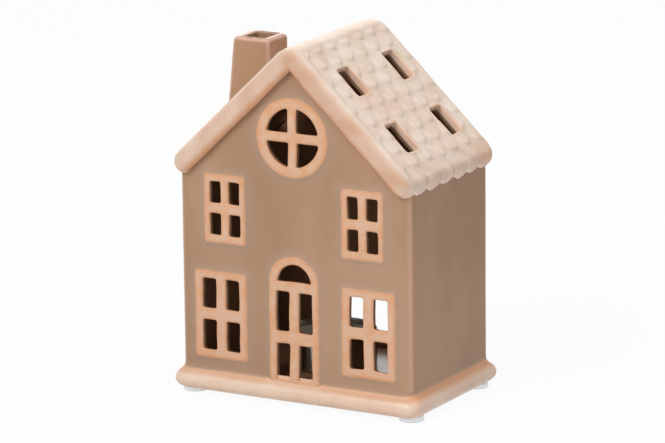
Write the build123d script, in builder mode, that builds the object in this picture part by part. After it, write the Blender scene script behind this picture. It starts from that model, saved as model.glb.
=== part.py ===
from build123d import *
import os
from math import atan, ceil, cos, degrees, radians, sin, tan

os.makedirs("parts", exist_ok=True)

# A glazed ceramic house that holds one tealight. All lengths are in millimetres.
# The origin lies on the table under the middle of the house, and the door faces -Y.

# Shared by all pieces
overrun = 1.0                   # every cut runs this far past what it cuts
seat_clearance = 0.1            # between pieces that fit into one another

# Walls
wall_width = 110.0
wall_depth = 68.2
wall_thickness = 4.5
wall_height = 80.9              # of a side wall's outer face, plinth to soffit line
wall_corner_radius = 4.0
chamber_corner_radius = 3.0

# Plinth, with the floor of the chamber
plinth_height = 8.0
plinth_overhang = 3.7
plinth_corner_radius = 5.5
moulding_share = 0.49           # of the plinth's height, rounded at top and at bottom
register_height = 1.0           # step of the floor up into the walls
collar_width = 1.9              # of the lip round the foot of the walls, where it leaves the moulding
collar_top_width = 0.4
collar_height = 2.7
collar_sink = 1.0               # of the lip into the moulding
foot_ring_width = 15.0
underside_recess = 3.5
recess_corner_radius = 6.0

# Feet
foot_diameter = 10.5
foot_height = 2.0
foot_edge_break = 0.5
foot_inset_x = 3.5              # from a wall's outer face to a foot's centre
foot_inset_y = 5.6

# Opening in the back wall
opening_width = 46.0
opening_height = 34.5
opening_sill = 4.5              # above the floor
opening_crown_radius = 12.0
opening_sill_radius = 4.0

# Roof
roof_pitch = 43.5               # degrees
roof_thickness = 8.9            # square to the slope, tiles included
roof_cover = 3.2                # slab left above the chamber, square to the slope
verge_overhang = 4.2            # past the gable walls
eave_overhang = 2.1             # past the side walls
ridge_radius = 8.7
ridge_roll_reach = 8.4          # down the slope from where the two tile faces would meet
verge_round = 1.5
roof_corner_radius = 6.5        # seen from above

# Fish-scale tiles
tile_relief = 1.1
tile_width = 11.1
tile_course = 7.7
tile_sagitta = 3.0              # of each rounded tile end
tile_lap = 0.5                  # hidden under the course above
tile_head = 0.2                 # thickness at the upper edge of a course
first_tile_end = 10.1           # down the slope, from where the tile faces would meet
verge_tile_margin = 1.6         # bare edge of the slab beside the tiles
eave_tile_thickness = 0.6
eave_tile_drop = 3.4            # of the tile tips below the centre of the rounded eave
eave_tile_sagitta = 1.3

# Slots in each slope: middle along the ridge, and middle down the slope
slot_width = 9.2
slot_length = 14.4
slot_front_y = -16.5
slot_back_y = 21.6
slot_upper_reach = 26.8
slot_lower_reach = 57.7

# Chimney
chimney_width = 17.6            # across the top
chimney_depth = 17.0
chimney_centre_x = -34.4        # of the top
chimney_rise = 35.6             # from the slab's surface at its outer side to the top
chimney_lean = 6.3              # degrees that the outer side splays
chimney_edge_round = 1.8
chimney_rim_round = 1.9
chimney_gap = 0.3               # between the stack and the tiles round it
flue_width = 9.0
flue_depth = 12.5
flue_corner_radius = 1.0

# Window and door frames
frame_relief = 1.1              # proud of the wall
frame_lip = 1.5                 # bears on the wall around the aperture
frame_edge_round = 0.8
frame_corner_radius = 2.0

upper_frame_width = 20.0
upper_frame_height = 30.0
upper_frame_x = 32.5
upper_frame_z = 71.0            # of the middle, above the plinth
upper_pane_width = 5.2
upper_pane_height = 9.3
upper_upright_bar = 3.9
upper_cross_bar = 4.3

lower_frame_width = 25.5
lower_frame_height = 38.0
lower_frame_x = 35.0
lower_frame_z = 25.3
lower_pane_width = 6.4
lower_pane_height = 12.8
lower_upright_bar = 4.8
lower_cross_bar = 5.0

round_frame_radius = 17.0
round_frame_z = 104.2
round_pane_radius = 12.4
round_bar = 4.1

door_width = 24.0
door_spring_height = 42.6       # of the arch, above the plinth
door_sill = 1.4                 # above the plinth
door_pane_width = 6.2
door_upright_bar = 4.5
door_lower_pane_height = 15.4
door_mid_rail = 5.3
door_transom = 4.4
fanlight_radius = 8.0
fanlight_rise = 0.9             # of its foot above the spring of the arch

# Tealight
cup_diameter = 38.0
cup_height = 15.5
cup_wall = 0.4
cup_rim_width = 0.5
cup_rim_height = 0.8
wax_height = 12.5
wax_edge_break = 0.5
wick_diameter = 1.6
wick_rise = 5.5                 # above the wax
sustainer_diameter = 14.0
sustainer_thickness = 0.4
sustainer_neck_diameter = 3.2
sustainer_neck_height = 3.0
tealight_y = -2.0

# Derived heights, upwards
plinth_top = foot_height + plinth_height
floor_top = plinth_top + register_height
half_width = wall_width / 2
half_depth = wall_depth / 2
chamber_width = wall_width - 2 * wall_thickness
chamber_depth = wall_depth - 2 * wall_thickness

# Derived roof geometry: a reach runs down the slope, a depth runs square into it
pitch = radians(roof_pitch)
soffit_apex = plinth_top + wall_height + half_width * tan(pitch)
tile_apex = soffit_apex + roof_thickness / cos(pitch)
slab_thickness = roof_thickness - tile_relief
eave_radius = slab_thickness / 2
eave_depth = tile_relief + eave_radius
eave_centre_x = half_width + eave_overhang - eave_radius - eave_tile_thickness
eave_reach = (eave_centre_x + eave_depth * sin(pitch)) / cos(pitch)
eave_centre_z = tile_apex - eave_reach * sin(pitch) - eave_depth * cos(pitch)
roof_depth = wall_depth + 2 * verge_overhang
roof_width = 2 * (eave_centre_x + eave_radius)
tiled_depth = roof_depth - 2 * verge_tile_margin


def slope_point(reach, depth, side):
    """A point of the roof's section: side is 1 on the right slope and -1 on the left."""
    x = reach * cos(pitch) - depth * sin(pitch)
    z = tile_apex - reach * sin(pitch) - depth * cos(pitch)
    return (side * x, z)


def height_over(x, depth):
    """Height, at a distance x from the middle, of the line a depth below the tile faces."""
    return tile_apex - depth / cos(pitch) - abs(x) * tan(pitch)


def slope_plane(side, reach=0.0, depth=0.0):
    """A plane lying in a slope: x runs down the slope and z points out of the roof."""
    x, z = slope_point(reach, depth, side)
    return Plane(
        origin=(x, 0, z),
        x_dir=(side * cos(pitch), 0, -sin(pitch)),
        z_dir=(side * sin(pitch), 0, cos(pitch)),
    )


def slot_outlines(side):
    """The four slots of a slope, drawn just above it. The plane's second axis turns with the side."""
    reaches = (slot_upper_reach, slot_lower_reach)
    with BuildSketch(slope_plane(side).offset(overrun)) as slots:
        with Locations(*[(reach, side * y) for reach in reaches for y in (slot_front_y, slot_back_y)]):
            Rectangle(slot_length, slot_width)
    return slots.sketch


def export(piece, name):
    """Label a finished piece and write it to its own file."""
    piece.part.label = name
    export_step(piece.part, f"parts/{name}.step")


# Roof slab: a saddle with rounded eaves and verges, a raised ridge roll, slots and a flue hole
slab_right = [slope_point(eave_reach, tile_relief, 1), slope_point(eave_reach, roof_thickness, 1)]
slab_left = [(-x, z) for x, z in reversed(slab_right)]
roll_right = [slope_point(ridge_roll_reach, 0, 1), slope_point(ridge_roll_reach, eave_depth, 1)]
roll_left = [(-x, z) for x, z in reversed(roll_right)]
cover_edge = height_over(chamber_width / 2, tile_relief + roof_cover)
chamber_foot = height_over(chamber_width / 2, roof_thickness) - overrun

with BuildPart() as roof_shell:
    with BuildSketch(Plane.XZ) as roof_section:
        with BuildLine():
            Polyline((0, height_over(0, tile_relief)), *slab_right, (0, soffit_apex), *slab_left, close=True)
        make_face()
        fillet(roof_section.vertices().sort_by(Axis.Y)[-1], radius=ridge_radius - tile_relief)
        with Locations((-eave_centre_x, eave_centre_z), (eave_centre_x, eave_centre_z)):
            Circle(eave_radius)
    extrude(amount=roof_depth / 2, both=True)
    with BuildSketch(Plane.XY.offset(plinth_top)):
        RectangleRounded(roof_width + overrun, roof_depth, roof_corner_radius)
    extrude(amount=tile_apex, mode=Mode.INTERSECT)
    fillet(roof_shell.faces().filter_by(Axis.Y).edges(), radius=verge_round)
    with BuildSketch(Plane.XZ) as roll_section:
        with BuildLine():
            Polyline((0, tile_apex), *roll_right, (0, soffit_apex), *roll_left, close=True)
        make_face()
        fillet(roll_section.vertices().sort_by(Axis.Y)[-1], radius=ridge_radius)
    extrude(amount=tiled_depth / 2, both=True)
    with BuildSketch(Plane.XZ):
        with BuildLine():
            Polyline(
                (-chamber_width / 2, chamber_foot),
                (-chamber_width / 2, cover_edge),
                (0, height_over(0, tile_relief + roof_cover)),
                (chamber_width / 2, cover_edge),
                (chamber_width / 2, chamber_foot),
                close=True,
            )
        make_face()
    extrude(amount=chamber_depth / 2, both=True, mode=Mode.SUBTRACT)
    for side in (1, -1):
        extrude(slot_outlines(side), amount=-roof_thickness - 2 * overrun, mode=Mode.SUBTRACT)
    with BuildSketch(Plane.XY.offset(plinth_top)):
        with Locations((chimney_centre_x, 0)):
            RectangleRounded(flue_width, flue_depth, flue_corner_radius)
    extrude(amount=tile_apex, mode=Mode.SUBTRACT)


# Chimney: a front profile that follows the slope, splayed on its outer side
chimney_outer_x = chimney_centre_x - chimney_width / 2
chimney_inner_x = chimney_centre_x + chimney_width / 2
chimney_top = height_over(chimney_outer_x, tile_relief) + chimney_rise
lean = tan(radians(chimney_lean))
chimney_foot_x = chimney_outer_x - chimney_rise * lean / (1 - lean * tan(pitch))


def chimney_outline(clearance):
    """The stack seen from the front, a clearance larger all round."""
    with BuildSketch() as outline:
        with BuildLine():
            Polyline(
                (chimney_outer_x, chimney_top),
                (chimney_inner_x, chimney_top),
                (chimney_inner_x, height_over(chimney_inner_x, tile_relief)),
                (chimney_foot_x, height_over(chimney_foot_x, tile_relief)),
                close=True,
            )
        make_face()
        if clearance:
            offset(amount=clearance, kind=Kind.INTERSECTION)
    return outline.sketch


with BuildPart() as chimney:
    with BuildSketch(Plane.XZ):
        add(chimney_outline(0))
    extrude(amount=chimney_depth / 2, both=True)
    sides = chimney.edges().filter_by(lambda e: abs(e.tangent_at(0.5).Z) > cos(pitch))
    fillet(sides, radius=chimney_edge_round)
    fillet(chimney.faces().sort_by(Axis.Z)[-1].edges(), radius=chimney_rim_round)
    with BuildSketch(Plane.XY.offset(chimney_top + overrun)):
        with Locations((chimney_centre_x, 0)):
            RectangleRounded(flue_width, flue_depth, flue_corner_radius)
    extrude(amount=-chimney_top, mode=Mode.SUBTRACT)


# Fish-scale tiles: wedge courses with rounded ends, and a last course that wraps the eave
tile_step = (tile_relief - tile_head) / (tile_course + tile_sagitta + tile_lap)
course_count = ceil((eave_reach - first_tile_end) / tile_course) + 1
ends_per_course = ceil(tiled_depth / tile_width) + 1
row_half = ends_per_course * tile_width / 2


def tile_course_solid(course):
    """One course of the right slope: rounded ends, sloping from a thick edge up to a thin head."""
    end = first_tile_end + course * tile_course
    notch = end - tile_sagitta
    head = notch - tile_course - tile_lap
    front = tile_width / 2 * (course % 2) - row_half
    back = front + 2 * row_half
    with BuildPart() as strip:
        with BuildSketch(slope_plane(1, depth=tile_relief)):
            with BuildLine():
                for index in range(ends_per_course):
                    near = front + index * tile_width
                    ThreePointArc((notch, near), (end, near + tile_width / 2), (notch, near + tile_width))
                Polyline((notch, back), (head, back), (head, front), (notch, front))
            make_face()
            with Locations(((ridge_roll_reach + eave_reach) / 2, 0)):
                Rectangle(eave_reach - ridge_roll_reach, tiled_depth, mode=Mode.INTERSECT)
        extrude(amount=tile_relief)
        face = slope_plane(1, reach=end).rotated((0, -degrees(atan(tile_step)), 0))
        split(bisect_by=face, keep=Keep.BOTTOM)
    return strip.part


def eave_course_solid():
    """The last course of the right slope, bent round the eave, its ends hanging by the wall."""
    front = tile_width / 2 * ((course_count - 1) % 2) - row_half
    back = front + 2 * row_half
    notch = eave_centre_z - eave_tile_drop + eave_tile_sagitta
    crest = eave_centre_z + eave_radius + eave_tile_thickness
    with BuildPart() as wrap:
        with BuildSketch(Plane.XZ):
            with Locations((eave_centre_x, eave_centre_z)):
                Circle(eave_radius + eave_tile_thickness)
                Circle(eave_radius, mode=Mode.SUBTRACT)
                Rectangle(
                    roof_thickness,
                    2 * roof_thickness,
                    rotation=-roof_pitch,
                    align=(Align.MIN, Align.CENTER),
                    mode=Mode.INTERSECT,
                )
        extrude(amount=tiled_depth / 2, both=True)
        with BuildSketch(Plane.YZ.offset(eave_centre_x)):
            with BuildLine():
                for index in range(ends_per_course):
                    near = front + index * tile_width
                    tip = (near + tile_width / 2, notch - eave_tile_sagitta)
                    ThreePointArc((near, notch), tip, (near + tile_width, notch))
                Polyline((back, notch), (back, crest), (front, crest), (front, notch))
            make_face()
        extrude(amount=roof_thickness, mode=Mode.INTERSECT)
    return wrap.part


right_courses = [tile_course_solid(course) for course in range(course_count)]
right_courses.append(eave_course_solid())


def roof_tiles(side):
    """The skin of tiles on one slope, open at the slots and round the chimney."""
    with BuildPart() as tiles:
        if side > 0:
            add(right_courses)
        else:
            mirror(right_courses, about=Plane.YZ)
        extrude(slot_outlines(side), amount=-roof_thickness - 2 * overrun, mode=Mode.SUBTRACT)
        with BuildSketch(Plane.XZ):
            add(chimney_outline(chimney_gap))
        extrude(amount=chimney_depth / 2 + chimney_gap, both=True, mode=Mode.SUBTRACT)
    return tiles


left_roof_tiles = roof_tiles(-1)
right_roof_tiles = roof_tiles(1)


# Window and door frames: a raised face that bears on the wall, and a plug that fills its aperture
wall_face = Plane.XZ.offset(half_depth)
frame_face = wall_face.offset(frame_relief)


def pane_grid(pane_width, pane_height, upright_bar, cross_bar):
    """Four panes with rounded corners about the middle of the current sketch."""
    with BuildSketch() as panes:
        with GridLocations(pane_width + upright_bar, pane_height + cross_bar, 2, 2):
            Rectangle(pane_width, pane_height)
    return panes.sketch


def rectangular_outline(width, height, inset):
    """Outline of a rectangular frame, drawn an inset smaller all round."""
    with BuildSketch() as outline:
        RectangleRounded(width - 2 * inset, height - 2 * inset, frame_corner_radius)
    return outline.sketch


def round_outline(inset):
    """Outline of the round frame."""
    with BuildSketch() as outline:
        Circle(round_frame_radius - inset)
    return outline.sketch


def door_outline(inset):
    """Outline of the door frame, with its origin on the plinth under the middle of the door."""
    with BuildSketch() as outline:
        with Locations((0, door_spring_height)):
            Circle(door_width / 2 - inset)
        with Locations((0, door_spring_height / 2)):
            Rectangle(door_width - 2 * inset, door_spring_height)
    return outline.sketch


def round_panes():
    """The four quadrants between the bars of the round window."""
    with BuildSketch() as panes:
        Circle(round_pane_radius)
        Rectangle(round_bar, 2 * round_frame_radius, mode=Mode.SUBTRACT)
        Rectangle(2 * round_frame_radius, round_bar, mode=Mode.SUBTRACT)
    return panes.sketch


def door_panes():
    """Two lower panes, two upper panes and the fanlight."""
    lower_middle = door_sill + door_lower_pane_height / 2
    upper_foot = door_sill + door_lower_pane_height + door_mid_rail
    fanlight_foot = door_spring_height + fanlight_rise
    upper_height = fanlight_foot - door_transom - upper_foot
    with BuildSketch() as panes:
        with Locations((0, lower_middle)):
            with GridLocations(door_pane_width + door_upright_bar, 0, 2, 1):
                Rectangle(door_pane_width, door_lower_pane_height)
        with Locations((0, upper_foot + upper_height / 2)):
            with GridLocations(door_pane_width + door_upright_bar, 0, 2, 1):
                Rectangle(door_pane_width, upper_height)
    with BuildSketch() as fanlight:
        with Locations((0, door_spring_height)):
            Circle(fanlight_radius)
        with Locations((0, fanlight_foot)):
            Rectangle(door_width, door_width, align=(Align.CENTER, Align.MIN), mode=Mode.INTERSECT)
    return panes.sketch + fanlight.sketch


def place_on_wall(sketch, x, height):
    """A sketch moved to its place on the front wall's outer face."""
    return wall_face.location * Pos(x, plinth_top + height) * sketch


def make_frame(outline, lip_outline, panes, x, height):
    """A frame with a rounded raised face, a plug in the wall and panes cut through both."""
    with BuildPart() as frame:
        extrude(place_on_wall(outline, x, height), amount=frame_relief)
        rim = frame.faces().sort_by(Axis.Y)[0].edges()
        fillet(rim.filter_by(lambda e: e.center().Z > floor_top), radius=frame_edge_round)
        extrude(place_on_wall(lip_outline, x, height), amount=-wall_thickness)
        extrude(
            Pos(Y=-frame_relief - overrun) * place_on_wall(panes, x, height),
            amount=-wall_thickness - frame_relief - 2 * overrun,
            mode=Mode.SUBTRACT,
        )
    return frame


plug_inset = frame_lip + seat_clearance
upper_frame = (upper_frame_width, upper_frame_height)
lower_frame = (lower_frame_width, lower_frame_height)
upper_panes = pane_grid(upper_pane_width, upper_pane_height, upper_upright_bar, upper_cross_bar)
lower_panes = pane_grid(lower_pane_width, lower_pane_height, lower_upright_bar, lower_cross_bar)
window_frames = {}
for hand, sign in (("left", -1), ("right", 1)):
    window_frames[f"upper_{hand}_window_frame"] = make_frame(
        rectangular_outline(*upper_frame, 0),
        rectangular_outline(*upper_frame, plug_inset),
        upper_panes, sign * upper_frame_x, upper_frame_z,
    )
    window_frames[f"lower_{hand}_window_frame"] = make_frame(
        rectangular_outline(*lower_frame, 0),
        rectangular_outline(*lower_frame, plug_inset),
        lower_panes, sign * lower_frame_x, lower_frame_z,
    )
round_window_frame = make_frame(round_outline(0), round_outline(plug_inset), round_panes(), 0, round_frame_z)
door_frame = make_frame(door_outline(0), door_outline(plug_inset), door_panes(), 0, 0)


# Walls: a gabled box, cut to the underside of the roof and pierced for frames and rear opening
wall_base = Plane.XY.offset(plinth_top)
gable_shoulder = height_over(half_width, eave_depth)
front_apertures = [
    place_on_wall(rectangular_outline(*upper_frame, frame_lip), -upper_frame_x, upper_frame_z),
    place_on_wall(rectangular_outline(*upper_frame, frame_lip), upper_frame_x, upper_frame_z),
    place_on_wall(rectangular_outline(*lower_frame, frame_lip), -lower_frame_x, lower_frame_z),
    place_on_wall(rectangular_outline(*lower_frame, frame_lip), lower_frame_x, lower_frame_z),
    place_on_wall(round_outline(frame_lip), 0, round_frame_z),
    place_on_wall(door_outline(frame_lip), 0, 0),
]

with BuildPart() as house_walls:
    with BuildSketch(wall_base):
        RectangleRounded(wall_width, wall_depth, wall_corner_radius)
    extrude(amount=tile_apex)
    with BuildSketch(Plane.XZ):
        with BuildLine():
            Polyline(
                (-half_width, plinth_top),
                (half_width, plinth_top),
                (half_width, gable_shoulder),
                (0, height_over(0, eave_depth)),
                (-half_width, gable_shoulder),
                close=True,
            )
        make_face()
    extrude(amount=half_depth, both=True, mode=Mode.INTERSECT)
    with BuildSketch(wall_base):
        RectangleRounded(chamber_width, chamber_depth, chamber_corner_radius)
    extrude(amount=tile_apex, mode=Mode.SUBTRACT)
    add(roof_shell.part, mode=Mode.SUBTRACT)
    for side in (1, -1):
        extrude(slot_outlines(side), amount=-roof_thickness - 2 * overrun, mode=Mode.SUBTRACT)
    for aperture in front_apertures:
        extrude(aperture, amount=-wall_thickness - overrun, mode=Mode.SUBTRACT)
    with BuildSketch(Plane.XZ.offset(-half_depth)) as opening:
        with Locations((0, floor_top + opening_sill)):
            Rectangle(opening_width, opening_height, align=(Align.CENTER, Align.MIN))
        fillet(opening.vertices().group_by(Axis.Y)[-1], radius=opening_crown_radius)
        fillet(opening.vertices().group_by(Axis.Y)[0], radius=opening_sill_radius)
    extrude(amount=wall_thickness + overrun, mode=Mode.SUBTRACT)


# Plinth: a half-round moulding with a lip round the walls, the floor, and a recessed underside
collar_taper = degrees(atan((collar_width - collar_top_width) / collar_height))

with BuildPart() as plinth_base:
    with BuildSketch(Plane.XY.offset(foot_height)):
        RectangleRounded(
            wall_width + 2 * plinth_overhang, wall_depth + 2 * plinth_overhang, plinth_corner_radius
        )
    extrude(amount=plinth_height)
    fillet(plinth_base.faces().filter_by(Axis.Z).edges(), radius=plinth_height * moulding_share)
    with BuildSketch(wall_base) as collar_ring:
        RectangleRounded(
            wall_width + 2 * collar_width, wall_depth + 2 * collar_width, wall_corner_radius + collar_width
        )
    extrude(amount=collar_height, taper=collar_taper)
    extrude(collar_ring.sketch, amount=-collar_sink)
    with BuildSketch(wall_base):
        RectangleRounded(
            wall_width + 2 * seat_clearance,
            wall_depth + 2 * seat_clearance,
            wall_corner_radius + seat_clearance,
        )
    extrude(amount=collar_height + overrun, mode=Mode.SUBTRACT)
    with BuildSketch(wall_base):
        RectangleRounded(
            chamber_width - 2 * seat_clearance,
            chamber_depth - 2 * seat_clearance,
            chamber_corner_radius - seat_clearance,
        )
    extrude(amount=register_height)
    extrude(
        place_on_wall(door_outline(-seat_clearance), 0, 0),
        amount=plinth_overhang + overrun,
        mode=Mode.SUBTRACT,
    )
    with BuildSketch(Plane.XY.offset(foot_height - overrun)):
        RectangleRounded(
            wall_width - 2 * foot_ring_width, wall_depth - 2 * foot_ring_width, recess_corner_radius
        )
    extrude(amount=underside_recess + overrun, mode=Mode.SUBTRACT)


# Feet: one clear bumper under each corner
feet = {}
for end_name, y_sign in (("front", -1), ("back", 1)):
    for hand, x_sign in (("left", -1), ("right", 1)):
        with BuildPart() as foot:
            with BuildSketch():
                with Locations((x_sign * (half_width - foot_inset_x), y_sign * (half_depth - foot_inset_y))):
                    Circle(foot_diameter / 2)
            extrude(amount=foot_height)
            chamfer(foot.faces().sort_by(Axis.Z)[0].edges(), length=foot_edge_break)
        feet[f"foot_{end_name}_{hand}"] = foot


# Tealight: a drawn cup with a rolled rim, its wax, and a wick held by a sustainer
cup_radius = cup_diameter / 2 - cup_rim_width
wax_radius = cup_radius - cup_wall - seat_clearance
cup_floor = floor_top + cup_wall
wick_foot = cup_floor + sustainer_thickness
wax_top = cup_floor + wax_height


def tealight_plane(height):
    """A level plane on the tealight's axis."""
    return Plane(origin=(0, tealight_y, height))


with BuildPart() as tealight_cup:
    with BuildSketch(tealight_plane(floor_top)):
        Circle(cup_radius)
    extrude(amount=cup_height)
    with BuildSketch(tealight_plane(floor_top + cup_height - cup_rim_height)):
        Circle(cup_diameter / 2)
    extrude(amount=cup_rim_height)
    with BuildSketch(tealight_plane(cup_floor)):
        Circle(cup_radius - cup_wall)
    extrude(amount=cup_height, mode=Mode.SUBTRACT)

with BuildPart() as wick_sustainer:
    with BuildSketch(tealight_plane(cup_floor)):
        Circle(sustainer_diameter / 2)
    extrude(amount=sustainer_thickness)
    with BuildSketch(tealight_plane(wick_foot)):
        Circle(sustainer_neck_diameter / 2)
        Circle(wick_diameter / 2 + seat_clearance, mode=Mode.SUBTRACT)
    extrude(amount=sustainer_neck_height)

with BuildPart() as tealight_wax:
    with BuildSketch(tealight_plane(cup_floor)):
        Circle(wax_radius)
    extrude(amount=wax_height)
    chamfer(tealight_wax.faces().sort_by(Axis.Z)[-1].edges(), length=wax_edge_break)
    with BuildSketch(tealight_plane(cup_floor)):
        Circle(sustainer_diameter / 2 + seat_clearance)
    extrude(amount=sustainer_thickness + seat_clearance, mode=Mode.SUBTRACT)
    with BuildSketch(tealight_plane(cup_floor)):
        Circle(sustainer_neck_diameter / 2 + seat_clearance)
    extrude(amount=sustainer_thickness + sustainer_neck_height + seat_clearance, mode=Mode.SUBTRACT)
    with BuildSketch(tealight_plane(cup_floor)):
        Circle(wick_diameter / 2 + seat_clearance)
    extrude(amount=wax_height + overrun, mode=Mode.SUBTRACT)

with BuildPart() as tealight_wick:
    with BuildSketch(tealight_plane(wick_foot)):
        Circle(wick_diameter / 2)
    extrude(amount=wax_top - wick_foot + wick_rise)


pieces = {
    "house_walls": house_walls,
    "plinth_base": plinth_base,
    "roof_shell": roof_shell,
    "left_roof_tiles": left_roof_tiles,
    "right_roof_tiles": right_roof_tiles,
    "chimney": chimney,
    "door_frame": door_frame,
    "round_window_frame": round_window_frame,
    **window_frames,
    **feet,
    "tealight_cup": tealight_cup,
    "tealight_wax": tealight_wax,
    "tealight_wick": tealight_wick,
    "wick_sustainer": wick_sustainer,
}
for name, piece in pieces.items():
    export(piece, name)
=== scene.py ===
import bpy
import numpy as np
from mathutils import Matrix, Vector


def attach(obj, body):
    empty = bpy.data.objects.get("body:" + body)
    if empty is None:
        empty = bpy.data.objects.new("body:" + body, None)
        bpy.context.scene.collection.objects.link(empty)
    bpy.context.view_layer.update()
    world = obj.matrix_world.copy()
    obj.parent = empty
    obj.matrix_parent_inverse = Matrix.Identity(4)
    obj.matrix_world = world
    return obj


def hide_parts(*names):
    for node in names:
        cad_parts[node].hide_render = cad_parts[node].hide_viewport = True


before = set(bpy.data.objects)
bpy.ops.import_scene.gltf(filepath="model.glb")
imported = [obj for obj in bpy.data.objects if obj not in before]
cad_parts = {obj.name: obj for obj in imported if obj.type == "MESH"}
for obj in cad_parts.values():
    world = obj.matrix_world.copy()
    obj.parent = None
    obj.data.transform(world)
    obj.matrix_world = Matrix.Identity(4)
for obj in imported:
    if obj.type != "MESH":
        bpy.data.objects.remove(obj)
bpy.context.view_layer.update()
print("frame loaded,", len(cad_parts), "nodes")

mm = 0.001  # every size below is in millimetres and becomes metres when its mesh is made
sharpAngle = 50.0  # degrees; an edge that turns by more stays hard

# the casting as the frame has it
house = {
    "halfWidth": 55.0,
    "halfDepth": 34.1,
    "wall": 4.5,
    "cornerRadius": 4.0,
    "chamberCornerRadius": 3.0,
    "plinthTop": 10.0,
    "floorTop": 11.0,
    "pitch": np.radians(43.5),
    "soffitApex": 143.09,
    "tileApex": 155.36,
    "swell": (0.10, 70.0, 3),  # of the walls: height, wavelength, seed
}


# 0 below low, 1 above high, and 3t^2 - 2t^3 between them
def smoothStep(low, high, value):
    t = np.clip((value - low) / (high - low), 0.0, 1.0)
    return t * t * (3.0 - 2.0 * t)


# a slow hand-made wobble between -1 and 1: the mean of four sine waves in turned directions, with
# directions, phases and wavelengths drawn from the seed
def wobble(a, b, wavelength, seed):
    draw = np.random.default_rng(seed)
    waves = 4
    total = np.zeros(np.broadcast(a, b).shape)
    for wave in range(waves):
        angle, phase = draw.uniform(0, np.pi), draw.uniform(0, 2 * np.pi)
        length = wavelength * draw.uniform(0.7, 1.5)
        total += np.sin(2 * np.pi * (a * np.cos(angle) + b * np.sin(angle)) / length + phase)
    return total / waves


# a wobble of some millimetres: the amount times the wobble
def sway(a, b, amount, wavelength, seed):
    return amount * wobble(a, b, wavelength, seed)


# moves (a, b) by a wobble each, so that an edge isn't dead straight
def unsteady(a, b, amountA, amountB, wavelength, seed):
    a = a + sway(a, b, amountA, wavelength, seed)
    b = b + sway(a, b, amountB, wavelength, seed + 40)
    return a, b


# a strength that varies in patches: mean + swing times the wobble
def patchy(a, b, mean, swing, wavelength, seed):
    return mean + sway(a, b, swing, wavelength, seed)


# how far a rounded edge has dropped: 1 - sqrt(1 - n^2), n running from 0 at the reach to 1 at the rim
def roundedDrop(distance, reach, where=1.0):
    near = np.clip(1 - distance / reach, 0, 1) * where
    return 1 - np.sqrt(np.maximum(1 - near ** 2, 0))


# a bell curve about a place, 1 there and 1/e at the width
def bell(value, place, width):
    return np.exp(-((value - place) / width) ** 2)


# distance into a rounded rectangle about (0, 0), positive inside: the radius, less how far the
# point lies past the corners' centres
def insideBox(a, b, halfA, halfB, radius):
    da, db = np.abs(a) - (halfA - radius), np.abs(b) - (halfB - radius)
    outside = np.hypot(np.maximum(da, 0), np.maximum(db, 0))
    return radius - outside - np.minimum(np.maximum(da, db), 0)


# unit direction in which a field grows fastest: its two central differences over their length
def gradientOf(field, a, b, step=0.05):
    slopeA = field(a + step, b) - field(a - step, b)
    slopeB = field(a, b + step) - field(a, b - step)
    length = np.maximum(np.hypot(slopeA, slopeB), 1e-9)
    return slopeA / length, slopeB / length


# corner indices of the cells of a grid: row * columns + column, then the next column and next row
def gridQuads(rows, columns, closed=False):
    row, column = np.meshgrid(np.arange(rows - 1), np.arange(columns - (not closed)), indexing="ij")
    after = (column + 1) % columns
    corners = [row * columns + column, row * columns + after,
               (row + 1) * columns + after, (row + 1) * columns + column]
    return np.stack([c.ravel() for c in corners], axis=1)


# edges that only one quad uses, in that quad's direction
def openEdges(quads):
    edges = np.concatenate([quads[:, [k, (k + 1) % 4]] for k in range(4)])
    key = np.sort(edges, axis=1)
    key = key[:, 0] * (key.max() + 1) + key[:, 1]
    _, first, count = np.unique(key, return_index=True, return_counts=True)
    return edges[first[count == 1]]


# keeps the cells whose middle lies where field > 0, then slides their rim onto field = 0 by
# Newton's steps: the field's value over its squared slope, along the slope
def trimGrid(a, b, quads, field):
    middle = field(a[quads].mean(axis=1), b[quads].mean(axis=1)) > 0
    kept, dropped = quads[middle], quads[~middle]
    rim = np.intersect1d(kept, dropped)
    step, flattest = 0.01, 0.05
    for attempt in range(5):
        value = field(a[rim], b[rim])
        slopeA = (field(a[rim] + step, b[rim]) - field(a[rim] - step, b[rim])) / (2 * step)
        slopeB = (field(a[rim], b[rim] + step) - field(a[rim], b[rim] - step)) / (2 * step)
        squared = np.maximum(slopeA ** 2 + slopeB ** 2, flattest)
        a[rim] -= value * slopeA / squared
        b[rim] -= value * slopeB / squared
    return kept


# a solid between the first and last sheet of one grid: front, back turned over, and a wall at each
# open edge that passes through the sheets between
def solidBetween(sheets, quads):
    count, last = len(sheets[0]), len(sheets) - 1
    edges = openEdges(quads)
    side = np.stack([edges[:, 1], edges[:, 0], edges[:, 0] + count, edges[:, 1] + count], axis=1)
    walls = [side + level * count for level in range(last)]
    return np.concatenate(sheets), np.concatenate([quads, quads[:, ::-1] + last * count, *walls])


# a sheet a share of the way from one sheet to another
def sheetAt(front, back, share):
    return front + (back - front) * share


# a point value for each sheet in turn, given as an array or as one number for the whole sheet
def bySheet(count, *sheets):
    return np.concatenate([np.zeros(count) + sheet for sheet in sheets])


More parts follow.
